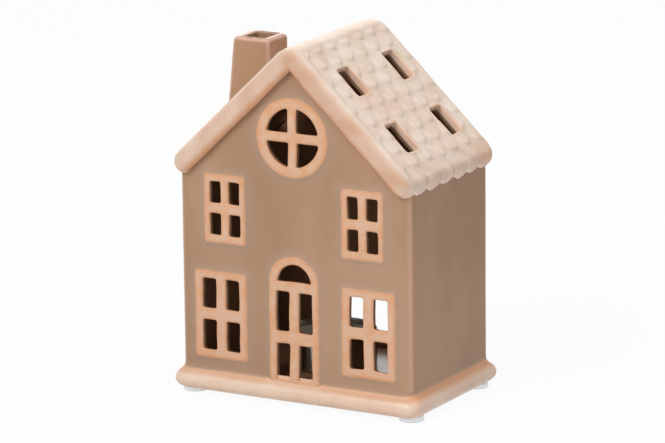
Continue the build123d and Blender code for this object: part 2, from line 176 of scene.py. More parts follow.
# a mesh from points in millimetres, with a value of each kind at every point; points that no face
# uses are left out
def makePiece(name, points, quads, material, body, nodes, values=None, caps=()):
    used, flat = np.unique(np.concatenate([quads.ravel(), *caps]).astype(int), return_inverse=True)
    sizes = np.concatenate([np.full(len(quads), 4), [len(c) for c in caps]]).astype(int)
    starts = np.concatenate([[0], np.cumsum(sizes)[:-1]])
    mesh = bpy.data.meshes.new(name)
    mesh.vertices.add(len(used))
    mesh.vertices.foreach_set("co", (points[used] * mm).astype(np.float32).ravel())
    mesh.loops.add(len(flat))
    mesh.loops.foreach_set("vertex_index", flat.ravel().astype(np.int32))
    mesh.polygons.add(len(sizes))
    mesh.polygons.foreach_set("loop_start", starts.astype(np.int32))
    mesh.update(calc_edges=True)
    for key, value in (values or {}).items():
        attribute = mesh.attributes.new(key, "FLOAT", "POINT")
        attribute.data.foreach_set("value", value[used].astype(np.float32))
    mesh.validate()
    mesh.shade_smooth()
    mesh.set_sharp_from_angle(angle=np.radians(sharpAngle))
    mesh.materials.append(material)
    piece = bpy.data.objects.new(name, mesh)
    bpy.context.scene.collection.objects.link(piece)
    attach(piece, body)
    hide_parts(*nodes)
    print("made", name, len(used), "points")


# a closed ring of points, a rounded rectangle seen from above: quarter circles about the corners'
# centres, joined by straight runs, anticlockwise from the front right
def roundedRing(halfA, halfB, radius, flatSteps, cornerSteps):
    corners = [(1, -1, -90), (1, 1, 0), (-1, 1, 90), (-1, -1, 180)]
    arcs = []
    for signX, signY, start in corners:
        angle = np.radians(start + np.linspace(0, 90, cornerSteps + 1))
        arcs.append(np.stack([signX * (halfA - radius) + radius * np.cos(angle),
                              signY * (halfB - radius) + radius * np.sin(angle)], axis=1))
    share = np.linspace(0, 1, flatSteps + 1)[1:-1, None]
    parts = []
    for index in range(4):
        first, last = arcs[index][-1], arcs[(index + 1) % 4][0]
        parts += [arcs[index], first + (last - first) * share]
    return np.concatenate(parts)


# a ring at a height, which may differ from point to point, moved sideways along x
def levelRing(ring, z, x=0.0):
    return np.column_stack([ring[:, 0] + x, ring[:, 1], np.zeros(len(ring)) + z])


# rings of equal counts joined into a skin, with a flat cap at each end
def ringSkin(rings):
    rows, columns = len(rings), len(rings[0])
    caps = [np.arange(columns)[::-1], np.arange(columns) + (rows - 1) * columns]
    return np.concatenate(rings), gridQuads(rows, columns, closed=True), caps


# a profile of (radius, height) turned about a vertical axis: x + radius cos, y + radius sin
def turnedRings(profile, x, y, steps):
    angle = np.linspace(0, 2 * np.pi, steps, endpoint=False)
    return [np.column_stack([x + r * np.cos(angle), y + r * np.sin(angle), np.full(steps, z)])
            for r, z in profile]


# points on an arc, centre + radius (cos, sin), between two angles in degrees
def arcPoints(centreA, centreB, radius, start, end, steps):
    angle = np.radians(np.linspace(start, end, steps))
    return list(zip(centreA + radius * np.cos(angle), centreB + radius * np.sin(angle)))


# a colour as a screen shows it, 0 to 255, made linear: c / 12.92 when dark, else the 2.4 power
def colour(red, green, blue):
    c = np.array([red, green, blue]) / 255
    return (*np.where(c <= 0.04045, c / 12.92, ((c + 0.055) / 1.055) ** 2.4), 1.0)


# a shader node with its settings; an input is another node's output or a plain value
def addNode(tree, kind, inputs=None, **settings):
    node = tree.nodes.new(kind)
    for key, value in settings.items():
        setattr(node, key, value)
    for key, value in (inputs or {}).items():
        if isinstance(value, bpy.types.NodeSocket):
            tree.links.new(value, node.inputs[key])
        else:
            node.inputs[key].default_value = value
    return node


# first * (1 - factor) + second * factor
def mixColours(tree, factor, first, second):
    node = addNode(tree, "ShaderNodeMix", {0: factor, 6: first, 7: second}, data_type="RGBA")
    return node.outputs[2]


# cloudy noise about 0.5 on the object's own coordinates, so many clouds to the metre
def noiseOf(tree, scale, detail, roughness=0.5, stretch=(1, 1, 1)):
    place = addNode(tree, "ShaderNodeTexCoord").outputs["Object"]
    turned = addNode(tree, "ShaderNodeMapping", {"Vector": place, "Scale": stretch}).outputs[0]
    return addNode(tree, "ShaderNodeTexNoise", {
        "Vector": turned, "Scale": scale, "Detail": detail, "Roughness": roughness}).outputs["Fac"]


# the smooth step of a value from low to high, laid on toLow to toHigh
def rangeOf(tree, value, low, high, toLow=0.0, toHigh=1.0):
    return addNode(tree, "ShaderNodeMapRange", {
        "Value": value, "From Min": low, "From Max": high, "To Min": toLow, "To Max": toHigh},
        interpolation_type="SMOOTHSTEP").outputs[0]


# the value that makePiece stored at the points under that name
def attributeOf(tree, name):
    return addNode(tree, "ShaderNodeAttribute", attribute_name=name).outputs["Fac"]


haloShare = 0.42  # of the grey where the wall meets a frame
glazes = {
    "mocha": colour(170, 133, 102),
    "mochaPale": colour(186, 147, 116),
    "mochaGrey": colour(176, 150, 132),
    "peach": colour(221, 160, 115),
    "peachPale": colour(221, 182, 155),
    "plinthCream": colour(238, 212, 190),
    "plinthPink": colour(232, 198, 174),
    # a painted highlight along the eave's scallop rims and on the tiles' round ends
    "paintedHighlight": colour(255, 238, 228),
    "cream": colour(247, 230, 214),
    "creamPink": colour(241, 212, 194),
    # painted shade in the roof's laps, along its verges, towards the eave and at the crest; also its fine
    # mottle
    "paintedShadeAndMottle": colour(205, 170, 147),
    "ochre": colour(222, 196, 166),
    # pale thin glaze on corners and rims, which also stands as a painted highlight there
    "thinGlazeAndHighlightTone": colour(232, 190, 172),
    # the brown of the inner faces; deep in the reveals, the slots and the flue it also stands as painted
    # shade
    "inside": colour(150, 112, 84),
}

# patches in a glaze: scale, detail, roughness and stretch of their noise, the range over which they
# come in, and how strong they get
patches = {
    "mochaDrift": {"noise": (22, 4, 0.55, (1, 1, 0.45)), "range": (0.36, 0.66), "strength": 1.0},
    "mochaFine": {"noise": (420, 3), "range": (0.35, 0.75), "strength": 0.10},
    "peachPatch": {"noise": (180, 5, 0.65), "range": (0.38, 0.68), "strength": 0.7},
    "roofPatch": {"noise": (45, 4, 0.6), "range": (0.36, 0.68), "strength": 1.0},
    "roofWarm": {"noise": (85, 5, 0.65, (1, 1.1, 0.9)), "range": (0.46, 0.70), "strength": 0.45},
    "roofFine": {"noise": (300, 3, 0.6), "range": (0.48, 0.75), "strength": 0.14},
    "plinthPatch": {"noise": (60, 4, 0.6), "range": (0.36, 0.68), "strength": 1.0},
}

# the gloss of each finish and the ripples in its surface: their noise, and their height in mm
finishes = {
    "mochaGlaze": {"Roughness": 0.18, "Specular IOR Level": 0.12},
    "peachGlaze": {"Roughness": 0.22, "Specular IOR Level": 0.22},
    "roofGlaze": {"Roughness": 0.48, "Specular IOR Level": 0.28},
    "plinthGlaze": {"Roughness": 0.30, "Specular IOR Level": 0.26},
    "clearBumper": {"Roughness": 0.22, "Transmission Weight": 0.65, "IOR": 1.45},
    "cupMetal": {"Roughness": 0.28, "Metallic": 1.0},
    "wax": {"Roughness": 0.42, "Subsurface Weight": 0.35, "Subsurface Scale": 0.003},
    "wickCotton": {"Roughness": 0.85},
}
ripples = {
    "mochaGlaze": {"noise": (160, 2), "height": 0.12},
    "peachGlaze": {"noise": (300, 3), "height": 0.10},
    "roofGlaze": {"noise": (900, 4, 0.6), "height": 0.10},
    "plinthGlaze": {"noise": (220, 3), "height": 0.12},
    "cupMetal": {"noise": (500, 2, 0.5, (1, 1, 0.1)), "height": 0.08},
    "wax": {"noise": (400, 3), "height": 0.10},
    "wickCotton": {"noise": (1800, 3), "height": 0.20},
}
# finishes of two tones, and the noise that mixes them
twoTones = {
    "clearBumper": {"noise": (300, 3), "first": (246, 248, 251), "second": (236, 240, 246)},
    # the cup's greys are tinted warm, a painted reflection of the brown house round it
    "cupMetal": {"noise": (260, 3), "first": (186, 180, 172), "second": (162, 156, 148)},
    "wax": {"noise": (120, 4), "first": (240, 235, 222), "second": (230, 222, 204)},
    "wickCotton": {"noise": (1500, 3), "first": (226, 220, 206), "second": (188, 180, 164)},
}


# each glaze from the bottom up: a ground, then where something lies and what it is. The place is a
# patch, the name of a value stored at the points, or a share, and what lies there is a colour or
# more glazes
mochaTone = ["mocha", ("mochaDrift", "mochaPale"), ("mochaFine", "mochaGrey")]
coveTone = mochaTone + [(haloShare, "mochaGrey")]
coats = {
    "mochaGlaze": mochaTone + [("halo", "mochaGrey"), ("thinGlazeAndHighlight", "thinGlazeAndHighlightTone"), ("inside", "inside")],
    "peachGlaze": ["peachPale", ("peachPatch", "peach"), ("edge", "peach"), ("cove", coveTone),
                   ("inside", "inside")],
    "roofGlaze": ["cream", ("roofPatch", "creamPink"), ("roofWarm", "ochre"), ("paintedShade", "paintedShadeAndMottle"),
                  ("roofFine", "paintedShadeAndMottle"), ("rim", "peach"), ("paintedHighlight", "paintedHighlight"), ("inside", "inside")],
    "plinthGlaze": ["plinthCream", ("plinthPatch", "plinthPink"), ("rim", "peach"), ("cove", coveTone),
                    ("inside", "inside")],
}
# where a glaze's roughness moves to another one: matt inside where none was brushed, and glossier
# where the painted highlight lies, most of all over the eave
otherRoughness = {"mochaGlaze": ("inside", 0.8), "peachGlaze": ("inside", 0.8),
                  "roofGlaze": ("paintedHighlight", 0.22)}


# a material with its gloss and its ripples; its colour comes from the functions below
def startMaterial(name):
    material = bpy.data.materials.new(name)
    material.use_nodes = True
    tree = material.node_tree
    shader = tree.nodes["Principled BSDF"]
    for key, value in finishes[name].items():
        shader.inputs[key].default_value = value
    if name in ripples:
        spec = ripples[name]
        bump = addNode(tree, "ShaderNodeBump", {
            "Height": noiseOf(tree, *spec["noise"]), "Distance": spec["height"] * mm, "Strength": 1.0})
        tree.links.new(bump.outputs[0], shader.inputs["Normal"])
    return material, tree, shader


# where something lies: the smooth step of a patch's noise over its range times its strength, a
# value stored at the points, or the same share everywhere
def placeOf(tree, where):
    if where in patches:
        spec = patches[where]
        return rangeOf(tree, noiseOf(tree, *spec["noise"]), *spec["range"], 0.0, spec["strength"])
    return attributeOf(tree, where) if isinstance(where, str) else where


# glazes laid over a ground one after the other
def layGlazes(tree, ground, *layers):
    base = glazes[ground]
    for where, over in layers:
        top = layGlazes(tree, *over) if isinstance(over, list) else glazes[over]
        base = mixColours(tree, placeOf(tree, where), base, top)
    return base


# a glaze with its coats, and the smooth step from one roughness to the other where it has two
def makeGlaze(name):
    material, tree, shader = startMaterial(name)
    tree.links.new(layGlazes(tree, *coats[name]), shader.inputs["Base Color"])
    if name in otherRoughness:
        where, other = otherRoughness[name]
        rough = rangeOf(tree, attributeOf(tree, where), 0, 1, finishes[name]["Roughness"], other)
        tree.links.new(rough, shader.inputs["Roughness"])
    return material


# two tones mixed by noise
def makeTwoTone(name):
    material, tree, shader = startMaterial(name)
    spec = twoTones[name]
    tint = mixColours(tree, noiseOf(tree, *spec["noise"]), colour(*spec["first"]), colour(*spec["second"]))
    tree.links.new(tint, shader.inputs["Base Color"])
    return material


mochaGlaze, peachGlaze, roofGlaze, plinthGlaze = [makeGlaze(name) for name in coats]
clearBumper, cupMetal, wax, wickCotton = [makeTwoTone(name) for name in twoTones]
print("finishes ready")


# the front wall swells a little, as a casting does
def wallSwell(a, b):
    return sway(a, b, *house["swell"])


# window and door frames
frameSpec = {
    "relief": 0.8,            # proud of the wall
    "seat": 0.03,             # least height over the wall
    "skirt": 1.9,             # cove round the outside, down to the wall
    "shoulder": 1.4,          # from the outline to the full relief
    "lip": 1.5,               # bears on the wall round the aperture
    "paneRound": 1.0,         # softened edge of each pane
    "paneDrop": 0.5,
    "paneCorner": 0.9,
    "ripple": (0.06, 9.0),    # of the face: height and wavelength
    "spacing": 0.3,
    "skirtDepth": 0.4,
    "plugDepth": 2.7,         # of the bars, behind the wall's face
    "flare": 0.7,             # of a pane from front to back
    "flareReach": 1.95,       # half a bar
    "between": (0.08, 0.9),   # places of the sheets between front and back
    "outlineWobble": (0.12, 0.12, 22.0),  # across, up, wavelength
    "paneWobble": (0.30, 0.25, 16.0),
    "paneSeed": 80,           # after the outline's
}
upperWindow = {"z": 81.0, "halfWidth": 10.0, "halfHeight": 15.0, "corner": 1.7,
               "columns": [(-7.15, -1.95), (1.95, 7.15)], "rows": [(-11.45, -2.15), (2.15, 11.45)]}
lowerWindow = {"z": 35.3, "halfWidth": 12.75, "halfHeight": 19.0, "corner": 1.7,
               "columns": [(-8.8, -2.4), (2.4, 8.8)], "rows": [(-15.3, -2.5), (2.5, 15.3)]}
windows = {
    "upper_left": {**upperWindow, "x": -32.5, "seed": 11},
    "upper_right": {**upperWindow, "x": 32.5, "seed": 12},
    "lower_left": {**lowerWindow, "x": -35.0, "seed": 13},
    "lower_right": {**lowerWindow, "x": 35.0, "seed": 14},
}
roundWindow = {"x": 0.0, "z": 114.2, "radius": 17.0, "pane": 12.4, "bar": 4.1, "corner": 0.9,
               "outlineWobble": (0.10, 24.0, 15), "paneWobble": (0.25, 18.0, 95)}
door = {"x": 0.0, "spring": 52.6, "halfWidth": 12.0, "foot": 9.4, "corner": 0.9,
        "columns": [(-8.45, -2.25), (2.25, 8.45)], "rows": [(11.4, 26.8), (32.1, 49.1)],
        "fanlightRadius": 8.0, "fanlightFoot": 53.5,
        "outlineWobble": (0.2, 26.0, 16), "paneWobble": (0.3, 0.25, 18.0, 96)}


# distance out of the nearest pane of a grid of columns and rows, each given as (from, to): the
# greatest distance into any pane, turned negative
def outsidePanes(a, b, columns, rows, corner):
    nearest = np.full(np.shape(a), -1e3)
    for left, right in columns:
        for low, high in rows:
            inside = insideBox(a - (left + right) / 2, b - (low + high) / 2,
                               (right - left) / 2, (high - low) / 2, corner)
            nearest = np.maximum(nearest, inside)
    return -nearest


# a window's outline as a field: distance into an unsteady rounded rectangle
def windowOutline(spec):
    def outline(a, b):
        a, b = unsteady(a, b, *frameSpec["outlineWobble"], spec["seed"])
        return insideBox(a - spec["x"], b - spec["z"], spec["halfWidth"], spec["halfHeight"],
                         spec["corner"])
    return outline


# a window's bars as a field: distance out of its panes
def windowPanes(spec):
    def panes(a, b):
        a, b = unsteady(a, b, *frameSpec["paneWobble"], spec["seed"] + frameSpec["paneSeed"])
        return outsidePanes(a - spec["x"], b - spec["z"], spec["columns"], spec["rows"],
                            frameSpec["paneCorner"])
    return panes


# distance into the round window: its radius less the distance from its centre
def roundOutline(a, b):
    a = a + sway(a, b, *roundWindow["outlineWobble"])
    return roundWindow["radius"] - np.hypot(a - roundWindow["x"], b - roundWindow["z"])


# distance out of the four quadrants between the bars of the round window, with softened corners
def roundPanes(a, b):
    amount, wavelength, seed = roundWindow["paneWobble"]
    a = np.abs(a - roundWindow["x"] + sway(a, b, amount, wavelength, seed))
    b = np.abs(b - roundWindow["z"] + sway(a, b, amount, wavelength, seed + 40))
    soft, halfBar = roundWindow["corner"], roundWindow["bar"] / 2
    edges = np.stack([roundWindow["pane"] - np.hypot(a, b), a - halfBar, b - halfBar])
    short = np.linalg.norm(np.maximum(soft - edges, 0), axis=0)
    return np.where(short > 0, short - soft, -edges.min(axis=0))


# the door's outline: half its width less the distance from its middle line, or above the spring
# from the arch's centre
def doorOutline(a, b):
    a = a - door["x"] + sway(a, b, *door["outlineWobble"])
    rise = np.maximum(b - door["spring"], 0)
    return door["halfWidth"] - np.hypot(a, rise)


# distance out of the door's four panes and its half-round fanlight
def doorPanes(a, b):
    a, b = unsteady(a, b, *door["paneWobble"])
    a = a - door["x"]
    fanlight = np.minimum(door["fanlightRadius"] - np.hypot(a, b - door["spring"]),
                          b - door["fanlightFoot"])
    panes = outsidePanes(a, b, door["columns"], door["rows"], door["corner"])
    return np.minimum(panes, -fanlight)


# a frame: its face rises from the wall through a cove and a shoulder, sinks again at the panes,
# and is joined by straight reveals to the back of its plug
def makeFrame(name, node, outline, panes, spanX, spanZ):
    spec = frameSpec
    a, b = np.meshgrid(np.arange(*spanX, spec["spacing"]), np.arange(*spanZ, spec["spacing"]))
    quads = gridQuads(*a.shape)
    a, b = a.ravel(), b.ravel()
    quads = trimGrid(a, b, quads, lambda p, q: np.minimum(outline(p, q) + spec["skirt"], panes(p, q)))
    edge, pane, seed = outline(a, b), panes(a, b), len(name)
    rise = spec["relief"] * smoothStep(-spec["skirt"], spec["shoulder"], edge) + spec["seat"]
    rise -= spec["paneDrop"] * roundedDrop(pane, spec["paneRound"])
    rise += sway(a, b, *spec["ripple"], seed)
    wallFace = -house["halfDepth"] - wallSwell(a, b)
    front = np.column_stack([a, wallFace - rise * (edge > -spec["skirt"] + 0.02), b])

    # the back lies deep in the aperture and shallow under the lip, its panes a little wider
    plug = smoothStep(spec["lip"] - 0.1, spec["lip"] + 0.3, edge)
    depth = spec["skirtDepth"] + (spec["plugDepth"] - spec["skirtDepth"]) * plug
    awayA, awayB = gradientOf(panes, a, b)
    flare = spec["flare"] * np.clip(1 - pane / spec["flareReach"], 0, 1)
    back = np.column_stack([a + awayA * flare, -house["halfDepth"] + depth, b + awayB * flare])
    sheets = [front, *[sheetAt(front, back, share) for share in spec["between"]], back]
    points, faces = solidBetween(sheets, quads)

    # strong glaze along the outer edge and round the panes
    strong = np.maximum(bell(edge, 0.9, 0.9), bell(pane, 0, 0.8))
    strong *= patchy(a, b, 0.65, 0.35, 12.0, seed + 5)
    cove = 1 - smoothStep(-0.2, 0.9, edge + sway(a, b, 0.14, 7.0, 5))
    values = {
        "edge": bySheet(len(a), np.clip(strong, 0, 1), 0, 0, 0),
        "cove": bySheet(len(a), cove, 0, 0, 0),
        # the reveals turn to the inside tone from front to back, partly as painted shade deep in them
        "inside": bySheet(len(a), 0, 0.45, 0.9, 1),
    }
    makePiece(name, points, faces, peachGlaze, "house", [node], values)


margin = frameSpec["skirt"] + 1.0  # room for the skirt on every side


# from middle - half to middle + half, and the margin beyond
def spanOf(middle, half):
    return middle - half - margin, middle + half + margin


for key, spec in windows.items():
    level, hand = key.split("_")
    makeFrame(f"{level}{hand.title()}WindowFrame", f"{key}_window_frame",
              windowOutline(spec), windowPanes(spec),
              spanOf(spec["x"], spec["halfWidth"]), spanOf(spec["z"], spec["halfHeight"]))
reach = roundWindow["radius"] + margin
makeFrame("roundWindowFrame", "round_window_frame", roundOutline, roundPanes,
          (roundWindow["x"] - reach, roundWindow["x"] + reach),
          (roundWindow["z"] - reach, roundWindow["z"] + reach))
makeFrame("doorFrame", "door_frame", doorOutline, doorPanes,
          spanOf(door["x"], door["halfWidth"]),
          (door["foot"], spanOf(door["spring"], door["halfWidth"])[1]))


# walls
walls = {
    "rows": 112,
    "ring": {"flatSteps": 86, "cornerSteps": 10},
    "headroom": 1.0,       # how far they stand into the roof
    "eaveTop": 97.0,       # under the rounded eaves
    "squareEnd": 1.0,      # from the inner corner, where the skins stop facing each other squarely
    "sideShift": 200.0,    # gives the side walls a swell of their own
    "flare": 2.2,          # of the front apertures from front to back
    "flareReach": 6.0,
    "openingRound": 1.3,
    "openingDrop": 0.8,
    "haloReach": 3.5,
    "footHalo": 0.8,
    "footHaloReach": 5.0,
    "cornerInset": 1.2,
    # how strong the paler corners are: thin glaze, and a painted highlight
    "cornerHighlight": 0.42,
}
rearOpening = {"halfWidth": 23.0, "low": 15.5, "high": 50.0, "crown": 12.0, "sill": 4.0,
               "wobble": (0.2, 30.0, 9)}
allOutlines = [windowOutline(spec) for spec in windows.values()] + [roundOutline, doorOutline]


# which points lie on the front face and which on the back
def facesOf(y):
    return y < -house["halfDepth"] + 1, y > house["halfDepth"] - 1


# the roof's underside: its apex less the distance from the ridge times the slope
def soffitHeight(x):
    return house["soffitApex"] - np.abs(x) * np.tan(house["pitch"])


# the walls end inside the roof: a little above its soffit, and level under the rounded eaves
def wallTop(x):
    return np.maximum(soffitHeight(x) + walls["headroom"], walls["eaveTop"])


# the greatest distance into any frame's outline
def intoFrames(x, z):
    return np.max([outline(x, z) for outline in allOutlines], axis=0)


# the rim of the wall apertures: the frames' outlines less their lips, and the opening behind
def wallField(x, y, z):
    frames = intoFrames(x, z) - frameSpec["lip"]
    middle = (rearOpening["low"] + rearOpening["high"]) / 2
    radius = np.where(z > middle, rearOpening["crown"], rearOpening["sill"])
    halfWidth = rearOpening["halfWidth"] + sway(x, z, *rearOpening["wobble"])
    rear = insideBox(x, z - middle, halfWidth, (rearOpening["high"] - rearOpening["low"]) / 2, radius)
    onFront, onBack = facesOf(y)
    wellInside = 50.0  # the side walls have no aperture
    return np.where(onFront, -frames, np.where(onBack, -rear, wellInside))


# the walls' outer and inner skins share one grid of (length along the ring, height), which the
# apertures are trimmed from
def makeWalls():
    spec, halfDepth = walls, house["halfDepth"]
    ring = roundedRing(house["halfWidth"], halfDepth, house["cornerRadius"], **spec["ring"])
    innerRing = roundedRing(house["halfWidth"] - house["wall"], halfDepth - house["wall"],
                            house["chamberCornerRadius"], **spec["ring"])
    flatEnd = house["halfWidth"] - house["cornerRadius"]
    innerEnd = house["halfWidth"] - house["wall"] - house["chamberCornerRadius"]
    square = innerEnd - spec["squareEnd"]
    onFlat = (np.abs(ring[:, 0]) <= flatEnd + 1e-6) & (np.abs(ring[:, 1]) > halfDepth - 1e-6)
    squared = np.interp(ring[:, 0], [-flatEnd, -square, square, flatEnd],
                        [-innerEnd, -square, square, innerEnd])
    innerRing[:, 0] = np.where(onFlat, squared, innerRing[:, 0])
    outward = np.roll(ring, -1, axis=0) - np.roll(ring, 1, axis=0)
    outward = np.column_stack([outward[:, 1], -outward[:, 0]]) / np.linalg.norm(outward, axis=1)[:, None]
    length = np.concatenate([[0], np.cumsum(np.linalg.norm(np.diff(ring, axis=0), axis=1))])
    total = length[-1] + np.linalg.norm(ring[0] - ring[-1])

    # a value of the ring's points, read between them at a length along the ring
    def along(values, a):
        return np.interp(a, length, values, period=total)

    base = house["plinthTop"]
    share = np.linspace(0, 1, spec["rows"])[:, None]
    a = np.repeat(length[None, :], spec["rows"], axis=0).ravel()
    b = (base + share * (wallTop(ring[:, 0]) - base)[None, :]).ravel()
    quads = gridQuads(spec["rows"], len(ring), closed=True)
    quads = trimGrid(a, b, quads, lambda p, q: wallField(along(ring[:, 0], p), along(ring[:, 1], p), q))
    x, y = along(ring[:, 0], a), along(ring[:, 1], a)
    onFront, onBack = facesOf(y)
    rim = wallField(x, y, b)
    swell = wallSwell(np.where(onFront | onBack, x, y + spec["sideShift"]), b)
    outer = np.column_stack([x + along(outward[:, 0], a) * swell,
                             y + along(outward[:, 1], a) * swell, b])
    outer[:, 1] -= spec["openingDrop"] * roundedDrop(rim, spec["openingRound"], onBack)

    innerX, innerY = along(innerRing[:, 0], a), along(innerRing[:, 1], a)
    lift = (wallTop(innerX) - wallTop(x)) * (b - base) / (wallTop(x) - base)
    awayX, awayZ = gradientOf(lambda p, q: wallField(p, y, q), x, b)
    flare = spec["flare"] * np.clip(1 - rim / spec["flareReach"], 0, 1) * onFront
    inner = np.column_stack([innerX + awayX * flare, innerY, b + lift + awayZ * flare])
    points, faces = solidBetween([outer, inner], quads)

    # greyer round the frames and above the plinth; paler down the corners, thin glaze with a painted
    # highlight
    beside = np.maximum(-intoFrames(x, b) - frameSpec["lip"], 0)
    halo = np.exp(-beside / spec["haloReach"]) * onFront
    footHalo = spec["footHalo"] * np.exp(-np.maximum(b - 13, 0) / spec["footHaloReach"])
    fromCorner = ((house["halfWidth"] - spec["cornerInset"] - np.abs(x)) ** 2
                  + (halfDepth - spec["cornerInset"] - np.abs(y)) ** 2)
    values = {
        "halo": bySheet(len(x), haloShare * np.maximum(halo, footHalo), 0),
        "thinGlazeAndHighlight": bySheet(len(x), spec["cornerHighlight"] * np.exp(-fromCorner / 1.2), 0),
        "inside": bySheet(len(x), 0, 1),
    }
    makePiece("houseWalls", points, faces, mochaGlaze, "house", ["house_walls"], values)


makeWalls()


# roof
roof = {
    "thickness": 8.9,
    "relief": 1.1,             # of the tiles over the slab
    "ridgeRadius": 8.95,
    "vergeHalf": 37.2,
    "eaveEnd": 80.9,           # down the slope from where the two tile faces would meet
    "vergeRadius": 2.6,
    "eaveRadius": 3.7,
    "border": 0.72,            # share of the relief along the smooth verges
    "outAtEave": 2.4,          # how much further out the tiles reach there
    "outAtBack": 2.0,
    "planCorner": 6.0,
    "undercut": 1.6,           # the soffit's run back under the edge
    "cover": 4.5,              # tile face to ceiling
    "pocketRun": 16.5,         # from the chamber's edge to the full thickness
    "spacing": 0.57,
    "edgeSpacing": 0.75,
    "slotRound": 0.9,
    "slotDrop": 0.55,
    "ripple": (0.10, 26.0, 8),       # of the faces: height, wavelength, seed
    "vergeRipple": (0.26, 19.0, 44),
}
roofTones = {                  # patches of each: strength, swing, wavelength, seed
    "edge": (0.75, 0.25, 9.0, 41),
    "band": (1, 0.4, 13.0, 42),
    "eave": (0.42, 0.3, 10.0, 43),
    "back": (0.36, 0.2, 8.0, 45),
}
tiles = {
    "first": 10.1,             # lower end of the first course, down the slope
    "course": 7.7,
    "courses": 9,
    "lastEnd": 84.1,           # of the course that hangs over the eave
    "field": (11.1, 3.5, 3.3, 6.5),  # spacing across, half width and length of a round end, slant
    "eave": (11.1, 5.4, 4.4, 10.0),  # the same of the course over the eave
    "soft": 0.7,               # softness of a tile's edge
    "bed": 0.30,               # share of the relief between the tiles
    "eaveCut": 0.8,            # how much deeper the bed lies between the scallops
    "unevenAcross": 0.4,
    "unevenDown": 0.5,
    "unevenEave": 0.3,
    "unevenHeight": 0.15,
    "seed": 27,
}
slots = {"halfLength": 7.2, "halfWidth": 4.6, "corner": 0.9, "wobble": (0.25, 15.0, 31),
         "reaches": (26.8, 57.7), "ys": (-16.5, 21.6)}
chimney = {"x": -34.4, "halfWidth": 8.8, "halfDepth": 8.5, "top": 148.4, "lean": 6.3, "corner": 2.2,
           "rim": 1.9, "mouth": 0.9, "flueHalfWidth": 5.2, "flueHalfDepth": 6.5, "flueCorner": 1.2,
           "sunk": 2.4, "flueSunk": 2.6, "swell": (0.12, 24.0, 51),
           # these: a painted highlight, with thin glaze, down the corners and on the rim, and painted light
           # on the side facing +x
           "highlight": 0.75, "highlightInset": 0.64, "highlightSpread": 0.6, "paintedSideLight": 0.16}

ridgeArc = roof["ridgeRadius"] * house["pitch"]
ridgeTangent = roof["ridgeRadius"] * np.tan(house["pitch"])


# distance along the roof's section from the crest, to distance down the slope from the sharp apex
def reachOf(s):
    return np.abs(s) - ridgeArc + ridgeTangent


# the other way: distance down the slope, to distance along the section
def alongOf(reach):
    return reach + ridgeArc - ridgeTangent


# folds flat roof coordinates over the ridge: s along the section, depth square into it.
# A circular arc over the crest and straight slopes beyond; depths past the arc's centre stay on
# the sharp V of that depth
def foldRoof(s, depth):
    pitch, radius = house["pitch"], roof["ridgeRadius"]
    reach, side = reachOf(s), np.sign(s)
    x = reach * np.cos(pitch) - depth * np.sin(pitch)
    z = house["tileApex"] - reach * np.sin(pitch) - depth * np.cos(pitch)
    turn = np.abs(s) / radius
    centre = house["tileApex"] - radius / np.cos(pitch)
    onArc = np.abs(s) < ridgeArc
    x = np.where(onArc, (radius - depth) * np.sin(turn), x)
    z = np.where(onArc, centre + (radius - depth) * np.cos(turn), z)
    x = np.maximum(x, 0.02 * np.abs(s))
    z = np.minimum(z, house["tileApex"] - depth / np.cos(pitch) - x * np.tan(pitch))
    return side * x, z


# an edge's profile by its share of arc length: round, flat, round, then back along the soffit
def edgeProfile(radius):
    flat, steps = roof["thickness"] - roof["relief"] - 2 * radius, 14
    turn = np.radians(np.concatenate([np.linspace(0, 90, steps), np.linspace(90, 180, steps), [180]]))
    out = radius * np.sin(turn)
    depth = roof["relief"] + radius * (1 - np.cos(turn))
    depth[steps:] += flat
    out[-1] -= roof["undercut"]
    length = np.concatenate([[0], np.cumsum(np.hypot(np.diff(out), np.diff(depth)))])
    return length / length[-1], np.stack([out, depth, turn]), length[-1]


vergeShare, vergeCurve, vergeRun = edgeProfile(roof["vergeRadius"])
eaveShare, eaveCurve, eaveRun = edgeProfile(roof["eaveRadius"])
edgeRun = (vergeRun + eaveRun) / 2
flatHalfS = alongOf(roof["eaveEnd"]) - roof["eaveRadius"]
flatHalfY = roof["vergeHalf"] - roof["vergeRadius"]
flatCorner = roof["planCorner"] - roof["eaveRadius"]


# how far (s, y) lies beyond the flat of the roof, and the direction away from it
def beyondFlat(s, y):
    overS = np.maximum(np.abs(s) - (flatHalfS - flatCorner), 0)
    overY = np.maximum(np.abs(y) - (flatHalfY - flatCorner), 0)
    length = np.hypot(overS, overY)
    safe = np.maximum(length, 1e-9)
    return np.maximum(length - flatCorner, 0), np.sign(s) * overS / safe, np.sign(y) * overY / safe


